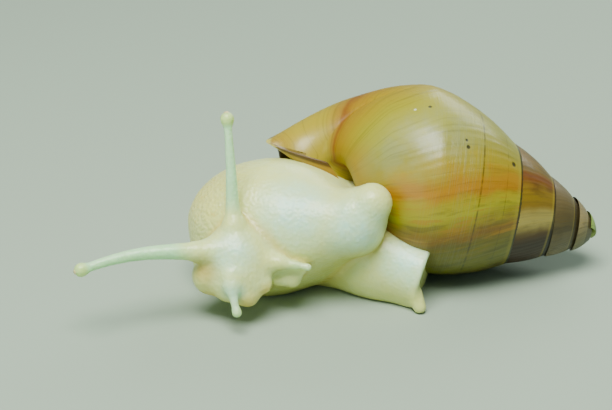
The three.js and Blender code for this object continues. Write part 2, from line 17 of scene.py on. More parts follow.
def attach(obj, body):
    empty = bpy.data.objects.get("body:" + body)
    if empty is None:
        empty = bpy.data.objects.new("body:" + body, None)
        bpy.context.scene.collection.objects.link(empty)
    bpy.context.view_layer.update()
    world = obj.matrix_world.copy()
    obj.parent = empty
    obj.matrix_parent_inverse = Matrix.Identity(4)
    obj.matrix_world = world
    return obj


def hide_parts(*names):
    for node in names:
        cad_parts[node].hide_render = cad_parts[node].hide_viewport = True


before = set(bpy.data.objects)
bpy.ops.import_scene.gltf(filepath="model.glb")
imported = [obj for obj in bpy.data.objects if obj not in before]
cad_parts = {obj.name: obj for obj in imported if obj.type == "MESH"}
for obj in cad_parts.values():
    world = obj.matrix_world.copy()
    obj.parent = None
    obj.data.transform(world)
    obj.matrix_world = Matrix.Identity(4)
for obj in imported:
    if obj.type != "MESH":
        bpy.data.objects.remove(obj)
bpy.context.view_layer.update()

MM = 0.001
MIDDLE = np.array([6.972, -3.132, 0.0])      # the model's origin, in the drawing frame

# ------------------------------------------------------------------ sizes of the shell

SHELL_APEX = np.array([52.2, 0.5, 6.4])
SHELL_BASE = np.array([-6.2, 2.4, 23.1])
TURNS_AT_LIP = 4.93
LAST_WHORL = TURNS_AT_LIP - 1                # the turn at which the last whorl begins
TURNS_AT_REST_LINE = 4.6
TURNS_AT_START = 0.4
TURNS_WHEN_YOUNG = 3.4
TURNS_REF = 4.55                             # turn at which the next three sizes are measured
SUTURE_ALONG = 17.1
SUTURE_RADIUS = 9.9
WIDEST_RADIUS = 16.9
ALONG_POWER = 2.25                           # powers with which the three grow
SUTURE_POWER = 1.8
WIDEST_POWER = 1.4
WHORL_STRETCH = 3.5
LIP_STRETCH = 4.18
WIDEST_AT = 0.53
WALL_FULLNESS = 2.0                          # how squarely the wall comes in to the front end
LIP_FULLNESS = 3.0                           # the same at the present lip
LIP_LEAN = 0.09                              # turns by which the lip's front end lags behind
LEAN_FROM = 0.75                             # fraction of the whorl where it starts to lag
NUCLEUS_ALONG = 2.0
NUCLEUS_RADIUS = 1.15
BASAL_FOLD_RADIUS = 4.9
BASAL_FOLD_LENGTH = 11.0
BASAL_FOLD_FROM = 4.35
LIP_THICKNESS = 0.7
LIP_ROLL_ROWS = 8
TURNS_PER_MM = 0.02
INSIDE_TURNS = 0.25                          # how far the wall is carried back inside the lip
INSIDE_ROWS = 39
ROWS_PER_TURN = 300
SUTURE_TUCK = 0.02                           # the whorl starts this far under the one before
COVERED_FROM = 0.4                           # fraction of a whorl that the next one covers
GROWTH_SLANT = 0.15                          # growth lines lean back by this many turns per whorl
GROWTH_HOOK = 0.04                           # and hook back further close to the front end
REST_LINE_GROWTH = 4.79
REST_LINE_STEP = 0.16
GROWTH_WAVES = [                             # ridges per turn, height and phase
    (61.0, 0.030, 0.3), (97.0, 0.022, 1.7), (151.0, 0.014, 4.1),
]
NUCLEUS_GRID = (40, 73)

# ------------------------------------------------------------------ sizes of the flesh

HEAD_CENTRE = (-11.2, -14.8, 9.8)
COLLAR_TURNS = 0.035                         # how far behind the lip the mantle closes it
COLLAR_DEPTH_TURNS = 0.11
COLLAR_CLEARANCE = 0.15
COLLAR_BLEND = 1.6

TAIL_RIM = np.array([20.0, -14.3, 4.2])
TAIL_END_NORMAL = np.array([0.958, -0.185, -0.217])
TAIL_HOLLOW_RADIUS = 34.0
TAIL_HOLLOW_DEPTH = 0.9
TAIL_HOLLOW_CENTRE = TAIL_RIM + TAIL_END_NORMAL * (TAIL_HOLLOW_RADIUS - TAIL_HOLLOW_DEPTH)

# Feelers: points from the root to the tip, a radius at each, and the knob's radius.
UPPER_LEFT = {
    "points": [
        (-11.9, -15.0, 15.2), (-12.2, -13.4, 19.5), (-12.4, -11.8, 24.2),
        (-12.7, -10.3, 28.6), (-13.0, -8.9, 32.2),
    ],
    "radii": [1.6, 1.08, 0.85, 0.7, 0.66],
    "bulb": 1.12,
}
UPPER_RIGHT = {
    "points": [
        (-17.2, -18.0, 12.3), (-22.0, -19.2, 12.9), (-27.1, -20.5, 13.1),
        (-31.8, -22.4, 12.9), (-36.3, -24.4, 12.2),
    ],
    "radii": [1.6, 1.3, 1.06, 0.85, 0.72],
    "bulb": 1.1,
}
LOWER_LEFT = {
    "points": [(-4.6, -17.6, 10.1), (-2.2, -18.0, 9.9), (0.3, -18.4, 9.6)],
    "radii": [1.1, 0.78, 0.42],
    "bulb": 0.42,
}
LOWER_RIGHT = {
    "points": [(-12.3, -21.6, 8.2), (-11.9, -22.9, 6.2), (-11.3, -24.1, 4.2)],
    "radii": [0.95, 0.7, 0.56],
    "bulb": 0.66,
}
FEELERS = [UPPER_LEFT, UPPER_RIGHT, LOWER_LEFT, LOWER_RIGHT]
EYE_RADIUS = 0.6
EYE_PROUD = 0.2
EYE_GRID = (25, 33)
CURVE_STEPS = 6

SKIN_CELL = 0.22
SKIN_LOW = np.array([-39.5, -27.5, -1.2])
SKIN_HIGH = np.array([28.5, 20.0, 35.0])
BODY_BOX = (-24.5, -27.5, -2.0), (23.0, 11.5, 24.0)
COLLAR_BOX = (-7.0, 0.0, 4.0), (28.0, 20.0, 26.0)
FLOOR_ROUNDING = 0.5
GRAIN_SPACING = 0.85
GRAIN_HEIGHT = 0.018
COARSE_GRAIN_HEIGHT = 0.045                  # added on the grainy side
SWELLING_HEIGHT = 0.05
GRAINY_SIDE = (-17.0, -4.0, 15.0)            # the flank of the neck with the coarsest grains

# ------------------------------------------------------------------ colours, 0 to 255

# Colours along the growth of the shell, seen as bands that run along the growth lines.
SPIRE_COLOURS = [
    (0.40, (186, 206, 140)), (0.90, (186, 196, 132)), (1.20, (150, 144, 106)),
    (1.50, (186, 176, 146)), (1.80, (142, 132, 98)), (2.10, (178, 166, 140)),
    (2.40, (138, 128, 92)), (2.65, (164, 152, 122)), (2.90, (138, 124, 82)),
    (3.12, (146, 128, 72)), (3.22, (118, 92, 36)), (3.30, (106, 78, 24)),
    (3.345, (140, 116, 52)), (3.375, (196, 186, 132)), (3.40, (198, 188, 132)),
    (3.43, (170, 150, 60)), (3.47, (176, 158, 52)), (3.51, (160, 112, 24)),
    (3.545, (164, 146, 66)), (3.60, (160, 138, 46)), (3.75, (168, 156, 68)),
    (3.93, (164, 150, 60)),
]
# The pale grey stops at 4.51 and 4.56 hold part of a painted sheen on the shoulder.
WHORL_COLOURS = [
    (3.90, (166, 160, 54)), (4.05, (152, 150, 36)), (4.16, (156, 148, 28)),
    (4.205, (158, 152, 34)), (4.24, (166, 164, 46)), (4.29, (166, 160, 40)),
    (4.325, (168, 156, 28)), (4.348, (182, 152, 8)), (4.366, (186, 172, 40)),
    (4.392, (200, 196, 60)), (4.418, (200, 188, 42)), (4.436, (204, 168, 5)),
    (4.458, (202, 172, 10)), (4.478, (196, 184, 66)), (4.51, (188, 184, 102)),
    (4.56, (192, 192, 122)), (4.63, (194, 190, 82)), (4.69, (196, 184, 44)),
    (4.765, (196, 170, 44)), (4.785, (180, 140, 62)), (4.80, (192, 166, 84)),
    (4.86, (204, 192, 92)), (4.98, (206, 194, 98)), (5.20, (198, 174, 80)),
]
AMBER = (205, 172, 4)
LILAC = (188, 192, 164)
UMBER = (84, 60, 24)
SUTURE_DARK = (54, 48, 34)
SUTURE_PALE = (206, 196, 104)
LIP_PALE = (224, 216, 140)
# brown painted shade on the lip's rim and inside it
LIP_SHADE = (132, 106, 36)
PORCELAIN = (226, 228, 212)
# the painted shade inside the pits
PIT_DARK = (38, 30, 20)

# Marks on the shell: turn and fraction of the whorl, then a radius in mm.
PITS = [(4.47, 0.12, 0.75), (4.45, 0.40, 0.6), (4.515, 0.60, 0.5), (4.462, 0.41, 0.45)]
EROSION_SPOT = (4.51, 0.67, 0.42)
# the centre of the painted amber shade and glow beside the neck
LIP_NOTCH = (6.8, -4.5, 20.6)                # where the lip meets the whorl, beside the neck
# where the painted highlight on the lip's rim is strongest
LIP_TIP = (-6.6, 3.0, 23.4)

# The flesh's colours, and places of its painted shade, painted highlights and tints: a point and a
# radius.
CREAM = (232, 237, 166)
# milk: the colour of faint clouds and of the painted highlights
MILK_AND_HIGHLIGHT = (202, 245, 232)
HONEY = (226, 204, 102)
# ochre: the painted shade in the cheek's hollow
OCHRE = (196, 174, 66)
MINT = (186, 238, 200)
KNOB = (216, 230, 138)
OLIVE_SHADE = (206, 202, 98)
CHEEK_HOLLOW = (-17.0, -19.4, 9.6)
# honey at the lips: partly their own tint, partly painted shade under the head
LIP_TINTS = [((-9.5, -21.4, 4.4), 3.2), ((-6.8, -20.0, 6.0), 2.4), ((-15.6, -19.0, 5.2), 3.0)]
# painted highlights: broad pale patches where the light falls most
HIGHLIGHT_PATCHES = [
    ((-2.0, -13.5, 17.5), 10.0), ((8.0, -16.0, 15.5), 8.5), ((17.0, -15.0, 8.5), 8.0),
    ((-12.0, -18.5, 12.0), 6.0), ((-12.0, -23.0, 7.0), 4.0),
]

EYE_DARK = (206, 190, 126)
EYE_PALE = (232, 222, 170)

SHELL_DEPTH = 1.9                            # how much richer and darker the colours are used
SKIN_DEPTH = 1.3

# Sizes of the patterns: noise scales for each metre, and lines for each turn or whorl.
CLOUD_SCALE = 260.0
PORE_SCALE = 2600.0
STREAKS_PER_TURN = 26.0
HAIRS_PER_TURN = 150.0
DASHES_PER_TURN = 75.0
GROOVES_PER_WHORL = 190.0
PATCH_SCALE = 170.0
MOTTLE_SCALE = 520.0
SPECKLE_SCALE = 1500.0
GRAIN_SCALE = 1700.0
HAZE_SCALE = 2400.0

# ------------------------------------------------------------------ studio and camera

CAMERA_TARGET = np.array([0.0, 0.0, 12.4])
CAMERA_DISTANCE = 276.0
CAMERA_ELEVATION = math.radians(25)
SENSOR_WIDTH = 36.0
LENS = 92.59
FLOOR_COLOUR = (154, 170, 154)
FLOOR_REACH = 3.0
LIGHTS_AIM = (0.0, 0.0, 0.012)
LIGHTS = [                                   # name, place and size in metres, watts, colour
    ("key", (-0.06, -0.16, 0.50), (0.34, 0.26), 5.6, (0.97, 1.0, 0.92)),
    ("fill", (-0.40, -0.35, 0.12), (0.4, 0.3), 0.7, (0.84, 1.0, 0.95)),
    ("rim", (0.22, 0.40, 0.26), (0.4, 0.2), 1.3, (0.92, 1.0, 0.94)),
]
WORLD_COLOUR = (0.78, 0.95, 0.90, 1.0)
WORLD_STRENGTH = 0.22


# ------------------------------------------------------------------ the shell's spiral

def unit(vector):
    return vector / np.linalg.norm(vector)


AXIS = unit(SHELL_BASE - SHELL_APEX)
RADIAL_UP = unit(np.array([0.0, 0.0, 1.0]) - AXIS * AXIS[2])
RADIAL_FAR = np.cross(AXIS, RADIAL_UP)


def size_at(turn):
    """The growth reached at a turn, 1 at TURNS_REF; young whorls grow by an equal share each."""
    young = TURNS_WHEN_YOUNG * np.exp(np.minimum(turn / TURNS_WHEN_YOUNG - 1, 0))
    return np.where(turn < TURNS_WHEN_YOUNG, young, turn) / TURNS_REF


def suture_along(turn):
    """Distance of the suture from the apex, along the axis."""
    return SUTURE_ALONG * size_at(turn) ** ALONG_POWER


def suture_radius(turn):
    return SUTURE_RADIUS * size_at(turn) ** SUTURE_POWER


def widest_radius(turn):
    return WIDEST_RADIUS * size_at(turn) ** WIDEST_POWER


def flare(turn):
    return np.clip((turn - TURNS_AT_REST_LINE) / (TURNS_AT_LIP - TURNS_AT_REST_LINE), 0, 1)


def whorl_height(turn):
    stretch = WHORL_STRETCH + (LIP_STRETCH - WHORL_STRETCH) * flare(turn) ** 0.7
    return stretch * (suture_along(turn + 1) - suture_along(turn))


def wall_radius(turn, fraction):
    """Radius of the outer wall; the fraction runs from 0 at the suture to 1 at the front end."""
    widest = widest_radius(turn)
    above = np.clip((WIDEST_AT - fraction) / WIDEST_AT, 0, None) ** 1.8
    below = np.clip((fraction - WIDEST_AT) / (1 - WIDEST_AT), 0, 1) ** 1.4
    fullness = WALL_FULLNESS + (LIP_FULLNESS - WALL_FULLNESS) * flare(turn)
    shoulder = widest - (widest - suture_radius(turn)) * above
    return np.where(fraction < WIDEST_AT, shoulder, widest * (1 - below) ** (1 / fullness))


def spiral_point(along, radius, turn):
    angle = (turn - TURNS_REF) * 2 * math.pi
    return (
        SHELL_APEX
        + AXIS * along[..., None]
        + RADIAL_UP * (radius * np.cos(angle))[..., None]
        + RADIAL_FAR * (radius * np.sin(angle))[..., None]
    )


def smoothstep(low, high, value):
    share = np.clip((value - low) / (high - low), 0, 1)
    return share * share * (3 - 2 * share)


def leaning(turn, fraction):
    """The front end of the whorl lags behind the rest of it near the lip."""
    near_lip = smoothstep(TURNS_AT_REST_LINE, TURNS_AT_LIP, turn)
    return turn - LIP_LEAN * smoothstep(LEAN_FROM, 1, fraction) * near_lip


# ------------------------------------------------------------------ meshes

def to_frame(points):
    return (points - MIDDLE) * MM


def make_mesh(name, points, faces, attributes=None):
    """A smooth-shaded mesh object from drawing-frame points, with float attributes per point."""
    mesh = bpy.data.meshes.new(name)
    mesh.from_pydata(to_frame(points).tolist(), [], faces)
    for key, values in (attributes or {}).items():
        layer = mesh.attributes.new(key, "FLOAT", "POINT")
        layer.data.foreach_set("value", np.asarray(values, dtype=np.float32).ravel())
    mesh.shade_smooth()
    mesh.update()
    piece = bpy.data.objects.new(name, mesh)
    bpy.context.scene.collection.objects.link(piece)
    return piece


def grid_faces(rows, columns, keep=lambda row, column: True):
    """Quads of a grid of points, for the cells that keep(row, column) accepts."""
    faces = []
    for i in range(rows - 1):
        for j in range(columns - 1):
            if keep(i, j):
                a = i * columns + j
                faces.append((a, a + columns, a + columns + 1, a + 1))
    return faces


def angle_grid(last_polar, grid):
    """Polar angles from 0 and the angles around, on a grid of (rows, columns)."""
    rows, columns = grid
    polar, around = np.linspace(0, last_polar, rows), np.linspace(0, 2 * math.pi, columns)
    return np.meshgrid(polar, around, indexing="ij")


# ------------------------------------------------------------------ shell

def growth_age(turn, fraction):
    """One value along each growth line: the turn at which it starts from the suture."""
    hook = np.maximum(-np.log(1.002 - np.clip(fraction, 0, 1)) - 1.5, 0)
    return turn + GROWTH_SLANT * fraction + GROWTH_HOOK * hook


def growth_relief(turn, fraction):
    """Low ridges along the growth lines, and the step at the old lip, in mm outwards."""
    growth = growth_age(turn, fraction)
    ridges = np.zeros_like(turn)
    for waves, height, shift in GROWTH_WAVES:
        phase = 2 * math.pi * waves * growth + shift + 1.3 * np.sin(9 * fraction + shift)
        ridges += height * np.sin(phase) * (0.6 + 0.4 * np.sin(growth * 31 + shift))
    step = REST_LINE_STEP * (1 - smoothstep(0.0, 0.05, np.abs(growth - REST_LINE_GROWTH)))
    dents = 0.05 * np.sin(5.1 * fraction + 23 * turn) * np.sin(17.0 * fraction - 11 * turn)
    relief = (ridges + dents) * size_at(turn) - step * smoothstep(0.02, 0.2, fraction)
    return relief * smoothstep(0.04, 0.16, fraction)


def suture_step(turn, fraction):
    """How far the wall stands out from the whorl that it overlaps, for a whorl of full size."""
    along = suture_along(turn) + whorl_height(turn) * fraction
    before = turn - 1
    part = (along - suture_along(before)) / whorl_height(before)
    clear = wall_radius(turn, fraction) - wall_radius(before, part)
    return np.clip(clear / size_at(turn), 0, 3)


def shell_rows():
    """Turn and inset of each row: the outer wall, the roll of the lip, and back inside it."""
    outer_rows = round((TURNS_AT_LIP - TURNS_AT_START) * ROWS_PER_TURN) + 1
    roll = np.linspace(0, math.pi, LIP_ROLL_ROWS + 1)[1:]
    inside = np.linspace(0, INSIDE_TURNS, INSIDE_ROWS + 1)[1:]
    turns = np.concatenate([
        np.linspace(TURNS_AT_START, TURNS_AT_LIP, outer_rows),
        TURNS_AT_LIP + LIP_THICKNESS / 2 * np.sin(roll) * TURNS_PER_MM,
        TURNS_AT_LIP - inside,
    ])
    insets = np.concatenate([
        np.zeros(outer_rows),
        LIP_THICKNESS / 2 * (1 - np.cos(roll)),
        np.full(INSIDE_ROWS, LIP_THICKNESS),
    ])
    return turns, insets


def wall_fractions():
    """Fraction of the whorl at each column of the wall, closest together where it bends most."""
    return np.concatenate([
        np.linspace(-SUTURE_TUCK, 0.06, 14),
        np.linspace(0.06, COVERED_FROM, 34)[1:],
        COVERED_FROM + (1 - COVERED_FROM) * np.sin(np.linspace(0, math.pi / 2, 66))[1:],
    ])


def shell_wall(turn, fraction, inset):
    """Points of the wall; only its outside has growth lines."""
    relief = np.where(inset > 0, 0, growth_relief(turn, fraction))
    along = suture_along(turn) + inset + (whorl_height(turn) - 2 * inset) * fraction
    radius = np.maximum(wall_radius(turn, fraction) - inset + relief * (fraction < 0.995), 0.0)
    return spiral_point(along, radius, turn)


def basal_fold(turn, angle, inset):
    """Points of the fold that carries the front end over the axis and back along it."""
    reach = BASAL_FOLD_RADIUS * smoothstep(BASAL_FOLD_FROM, TURNS_AT_REST_LINE, turn)
    reach = np.maximum(reach - inset, 0.02)
    nose = suture_along(turn) + whorl_height(turn)
    along = nose - inset - (BASAL_FOLD_LENGTH - 2 * inset) * (1 - np.sin(angle))
    return spiral_point(along, reach * np.cos(angle), turn + 0.5)


def shell_surface():
    """The outer wall, rolled over at the lip and carried back inside the aperture."""
    turns, insets = shell_rows()
    fractions = wall_fractions()
    turn, fraction = np.meshgrid(turns, fractions, indexing="ij")
    turn = leaning(turn, fraction)
    wall = shell_wall(turn, fraction, insets[:, None])

    fold_angles = np.linspace(math.pi / 2, 0, 30)[1:]
    fold_turn, angle = np.meshgrid(leaning(turns, 1), fold_angles, indexing="ij")
    basal = basal_fold(fold_turn, angle, insets[:, None])

    points = np.concatenate([wall, basal], axis=1)
    columns = points.shape[1]
    first_full_row = round((LAST_WHORL - TURNS_AT_START) * ROWS_PER_TURN)
    covered_column = int(np.searchsorted(fractions, COVERED_FROM))

    def kept(i, j):
        return i >= first_full_row or j < covered_column

    faces = grid_faces(len(turns), columns, kept)
    whole_turn = np.concatenate([turn, fold_turn], axis=1)
    whole_fraction = np.concatenate([fraction, 1 + 0.25 * (1 - np.sin(angle))], axis=1)
    attributes = {
        "turn": whole_turn,
        "fraction": whole_fraction,
        "growth": growth_age(whole_turn, whole_fraction),
        "step": np.concatenate([suture_step(turn, fraction), np.full(angle.shape, 3.0)], axis=1),
        "margin": np.repeat((TURNS_AT_LIP - turns)[:, None], columns, axis=1),
        "inner": np.repeat(smoothstep(0.1, LIP_THICKNESS, insets)[:, None], columns, axis=1),
    }
    return points.reshape(-1, 3), faces, attributes


def nucleus_surface():
    """The rounded first whorl at the apex."""
    centre = SHELL_APEX + AXIS * NUCLEUS_ALONG
    polar, around = angle_grid(2.2, NUCLEUS_GRID)
    offset = (
        -AXIS * np.cos(polar)[..., None]
        + RADIAL_UP * (np.sin(polar) * np.cos(around))[..., None]
        + RADIAL_FAR * (np.sin(polar) * np.sin(around))[..., None]
    )
    points = centre + NUCLEUS_RADIUS * offset
    outward_faces = [tuple(reversed(face)) for face in grid_faces(*NUCLEUS_GRID)]
    attributes = {
        "turn": np.full(points.shape[:2], 1.0),
        "fraction": 0.05 + 0.1 * polar,
        "growth": 0.6 + 0.2 * polar,
        "step": np.full(points.shape[:2], 3.0),
        "margin": np.full(points.shape[:2], 4.0),
        "inner": np.zeros(points.shape[:2]),
    }
    return points.reshape(-1, 3), outward_faces, attributes


def join_parts(parts):
    """One mesh's points, faces and attributes from several."""
    points, faces, attributes, offset = [], [], {}, 0
    for part_points, part_faces, part_attributes in parts:
        points.append(part_points)
        faces.extend(tuple(index + offset for index in face) for face in part_faces)
        offset += len(part_points)
        for key, values in part_attributes.items():
            attributes.setdefault(key, []).append(np.ravel(values))
    merged = {key: np.concatenate(values) for key, values in attributes.items()}
    return np.concatenate(points), faces, merged


def drop_loose(points, faces, attributes):
    """Leaves out the points that no face uses."""
    used = np.unique(np.concatenate([np.asarray(face) for face in faces]))
    order = np.full(len(points), -1)
    order[used] = np.arange(len(used))
    kept_faces = [tuple(int(order[index]) for index in face) for face in faces]
    return points[used], kept_faces, {key: values[used] for key, values in attributes.items()}


def build_shell():
    points, faces, attributes = drop_loose(*join_parts([shell_surface(), nucleus_surface()]))
    shell = make_mesh("shell_surface", points, faces, attributes)
    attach(shell, "root")
    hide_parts("shell_spire", "shell_body_whorl")
    shell.data.materials.append(shell_material())
    return shell


# ------------------------------------------------------------------ flesh as a smooth field

def ellipsoid(centre, radii):
    """A field: roughly the distance in mm outwards from the surface of an ellipsoid."""
    centre, radii = np.array(centre), np.array(radii)

    def distance(p):
        q = (p - centre) / radii
        scale = np.linalg.norm(q, axis=-1)
        slope = np.linalg.norm(q / radii, axis=-1)
        return scale * (scale - 1) / np.maximum(slope, 1e-6)

    return distance


def round_cone(start, end, start_radius, end_radius):
    """The field of a rounded cone between two points."""
    start, end = np.array(start), np.array(end)
    along = end - start
    length_squared = float(along @ along)

    def distance(p):
        offset = p - start
        share = np.clip(offset @ along / length_squared, 0, 1)
        nearest = offset - share[..., None] * along
        return np.linalg.norm(nearest, axis=-1) - (start_radius + (end_radius - start_radius) * share)

    return distance


def blend_min(a, b, reach):
    """The nearer of two distances, with a fillet where they differ by less than the reach."""
    overlap = np.clip(reach - np.abs(a - b), 0, None) / reach
    return np.minimum(a, b) - overlap * overlap * reach / 4


def blend_max(a, b, reach):
    return -blend_min(-a, -b, reach)


def blend_all(fields, reach):
    """One field from several, with a fillet wherever two of them meet."""
    def distance(p):
        total = fields[0](p)
        for field in fields[1:]:
            total = blend_min(total, field(p), reach)
        return total

    return distance


neck_field = blend_all([
    ellipsoid((-5.2, -4.0, 11.0), (15.2, 11.5, 11.0)),
    ellipsoid((-8.4, -5.6, 5.2), (11.2, 8.0, 6.8)),
], 3)

lobe_field = blend_all([
    round_cone((-1.5, -8.5, 12.0), (7.6, -11.2, 14.3), 7.8, 5.7),
    round_cone((8.0, -11.0, 14.5), (11.0, -12.2, 18.4), 5.0, 3.4),
    ellipsoid((6.5, -0.5, 7.5), (14.0, 10.5, 8.5)),
], 2)

tail_mass = blend_all([
    round_cone((4.0, -4.5, 3.5), (12.0, -7.5, 4.5), 4.5, 5.5),
    round_cone((12.0, -7.5, 4.5), (20.5, -11.2, 3.6), 5.5, 6.0),
    round_cone((12.0, -8.0, 8.2), (21.2, -12.4, 5.0), 4.0, 3.1),
], 3)

tail_flap = round_cone((18.4, -15.0, 3.0), (19.2, -16.4, 1.0), 1.3, 1.1)


def tail_field(p):
    hollow = TAIL_HOLLOW_RADIUS - np.linalg.norm(p - TAIL_HOLLOW_CENTRE, axis=-1)
    return blend_min(blend_max(tail_mass(p), hollow, 0.8), tail_flap(p), 0.8)


face_field = blend_all([
    round_cone((-8.0, -8.0, 9.0), HEAD_CENTRE, 7.5, 5.2),
    round_cone(HEAD_CENTRE, (-10.6, -18.2, 7.6), 4.8, 3.5),
    round_cone((-13.5, -15.5, 8.6), (-15.7, -17.2, 7.5), 4.4, 3.3),
    round_cone((-12.5, -17.5, 7.5), (-12.6, -19.4, 6.2), 3.0, 2.2),
    round_cone((-10.0, -18.6, 6.8), (-9.5, -20.5, 5.2), 2.4, 1.6),
    round_cone((-8.0, -18.0, 7.4), (-6.9, -19.2, 6.8), 1.9, 1.2),
], 2.0)

feeler_roots = blend_all([
    round_cone((-11.6, -14.6, 11.0), (-12.0, -14.9, 15.6), 3.4, 1.75),
    round_cone((-12.6, -16.0, 11.4), (-17.8, -18.2, 12.4), 3.3, 1.55),
    round_cone((-11.6, -17.8, 10.0), (-12.2, -21.7, 8.1), 2.9, 1.0),
    round_cone((-8.8, -16.2, 9.8), (-4.6, -17.6, 10.1), 2.8, 1.15),
], 1.4)

palp_flap = blend_all([
    round_cone((-4.8, -16.2, 6.6), (-2.3, -16.4, 6.35), 1.5, 1.4),
    round_cone((-2.4, -16.4, 6.8), (-0.1, -17.0, 8.8), 1.5, 0.55),
    round_cone((-5.0, -16.0, 8.4), (-1.8, -16.4, 8.7), 1.4, 1.0),
], 0.8)


def head_field(p):
    return blend_min(blend_min(face_field(p), feeler_roots(p), 2.2), palp_flap(p), 0.5)


def collar_field(p):
    """The mantle's collar, which closes the aperture a little way behind the lip."""
    offset = p - SHELL_APEX
    along = offset @ AXIS
    up, far = offset @ RADIAL_UP, offset @ RADIAL_FAR
    radius = np.hypot(up, far)
    angle = np.arctan2(far, up) / (2 * math.pi)
    turn = TURNS_AT_LIP - 0.5 + (TURNS_REF + angle - TURNS_AT_LIP + 0.5) % 1
    fraction = np.clip((along - suture_along(turn)) / whorl_height(turn), 0, 1)
    straight = turn + LIP_LEAN * smoothstep(LEAN_FROM, 1, fraction)
    before = turn - 1
    part = np.clip((along - suture_along(before)) / whorl_height(before), 0, 1)
    wall = wall_radius(turn, fraction) - LIP_THICKNESS - COLLAR_CLEARANCE
    front = (straight - TURNS_AT_LIP + COLLAR_TURNS) * 2 * math.pi * radius
    back = (TURNS_AT_LIP - COLLAR_DEPTH_TURNS - straight) * 2 * math.pi * radius
    inner = wall_radius(before, part) + COLLAR_CLEARANCE - radius
    return blend_max(blend_max(radius - wall, front, 1.5), blend_max(back, inner, 0.5), 0.5)


def body_field(p):
    body = blend_min(neck_field(p), lobe_field(p), 3)
    body = blend_min(body, head_field(p), 1.2)
    return blend_min(body, tail_field(p), 0.7)


def flesh_field(p):
    return blend_min(body_field(p), collar_field(p), COLLAR_BLEND)


def catmull_rom(points, steps):
    """A smooth curve through the points, with that many steps from each to the next."""
    points = np.array(points)
    padded = np.vstack([2 * points[0] - points[1], points, 2 * points[-1] - points[-2]])
    curve = []
    for k in range(len(points) - 1):
        before, start, end, after = padded[k:k + 4]
        for s in np.linspace(0, 1, steps, endpoint=False):
            curve.append(0.5 * (
                2 * start
                + (end - before) * s
                + (2 * before - 5 * start + 4 * end - after) * s ** 2
                + (3 * start - before - 3 * end + after) * s ** 3
            ))
    curve.append(points[-1])
    return np.array(curve)


def feeler_field(feeler):
    """Field of one feeler and the box that it lives in."""
    curve = catmull_rom(feeler["points"], CURVE_STEPS)
    places = np.linspace(0, len(feeler["radii"]) - 1, len(curve))
    radii = np.interp(places, range(len(feeler["radii"])), feeler["radii"])
    stem = [
        round_cone(curve[k], curve[k + 1], radii[k], radii[k + 1])
        for k in range(len(curve) - 1)
    ]
    root = np.array(feeler["points"][0])
    outward = unit(np.array(feeler["points"][1]) - root)
    stem.append(round_cone(root - 1.5 * outward, root, radii[0] * 1.05, radii[0]))
    knob = ellipsoid(curve[-1], (feeler["bulb"],) * 3)

    def distance(p):
        nearest = stem[0](p)
        for cone in stem[1:]:
            nearest = np.minimum(nearest, cone(p))
        return blend_min(nearest, knob(p), 0.8)

    margin = feeler["radii"][0] + 2.5
    return distance, curve.min(axis=0) - margin, curve.max(axis=0) + margin


# ------------------------------------------------------------------ skin

def grid_axes():
    return [np.arange(SKIN_LOW[k], SKIN_HIGH[k], SKIN_CELL) for k in range(3)]


def part_of_grid(axes, low, high):
    """The slices of the grid inside a box, and the places of its corners."""
    slices = tuple(
        slice(int(np.searchsorted(axis, low[k])), int(np.searchsorted(axis, high[k])))
        for k, axis in enumerate(axes)
    )
    places = np.stack(np.meshgrid(*[a[s] for a, s in zip(axes, slices)], indexing="ij"), axis=-1)
    return slices, places


def skin_values():
    """The flesh's field on the whole grid, negative inside."""
    axes = grid_axes()
    values = np.full([len(axis) for axis in axes], 5.0)
    body, places = part_of_grid(axes, *BODY_BOX)
    values[body] = body_field(places)
    collar, places = part_of_grid(axes, *COLLAR_BOX)
    values[collar] = blend_min(values[collar], collar_field(places), COLLAR_BLEND)
    for feeler in FEELERS:
        field, low, high = feeler_field(feeler)
        region, places = part_of_grid(axes, low, high)
        values[region] = blend_min(values[region], field(places), 1.0)
    floor = -axes[2][None, None, :] + 0 * values
    return blend_max(values, floor, FLOOR_ROUNDING)


def crease_share(points):
    """1 where two of the masses meet, falling to 0 a little way off."""
    body = np.minimum(neck_field(points), lobe_field(points))
    masses = np.sort([body, head_field(points), tail_field(points)], axis=0)
    return smoothstep(1.6, 0.0, masses[1] - masses[0])


def feeler_share(points):
    """1 on the feelers, falling to 0 where they run out into the head."""
    body = flesh_field(points)
    share = np.zeros(len(points))
    for feeler in FEELERS:
        field = feeler_field(feeler)[0]
        share = np.maximum(share, smoothstep(1.2, 0.3, field(points)))
    return share * smoothstep(-0.5, 3.5, body)


def outward_direction(points):
    """Unit vectors out of the flesh, from the slope of its field."""
    steps = np.eye(3) * 0.4
    slope = [flesh_field(points + step) - flesh_field(points - step) for step in steps]
    slope = np.stack(slope, axis=-1)
    return slope / np.maximum(np.linalg.norm(slope, axis=-1, keepdims=True), 1e-6)


def skin_relief(points):
    """Rounded grains with furrows between them, and soft swellings, in mm outwards."""
    heights = np.empty(len(points))
    grainy = smoothstep(20.0, 6.0, np.linalg.norm(points - np.array(GRAINY_SIDE), axis=1))
    for k, point in enumerate(points):
        place = Vector(point)
        nearest, second = noise.voronoi(place / GRAIN_SPACING)[0][:2]
        grain = min((second - nearest) * 2.2, 1.0)
        swelling = noise.noise(place / 3.1) + 0.5 * noise.noise(place / 1.4)
        height = GRAIN_HEIGHT + COARSE_GRAIN_HEIGHT * grainy[k]
        heights[k] = height * grain + SWELLING_HEIGHT * swelling
    return heights


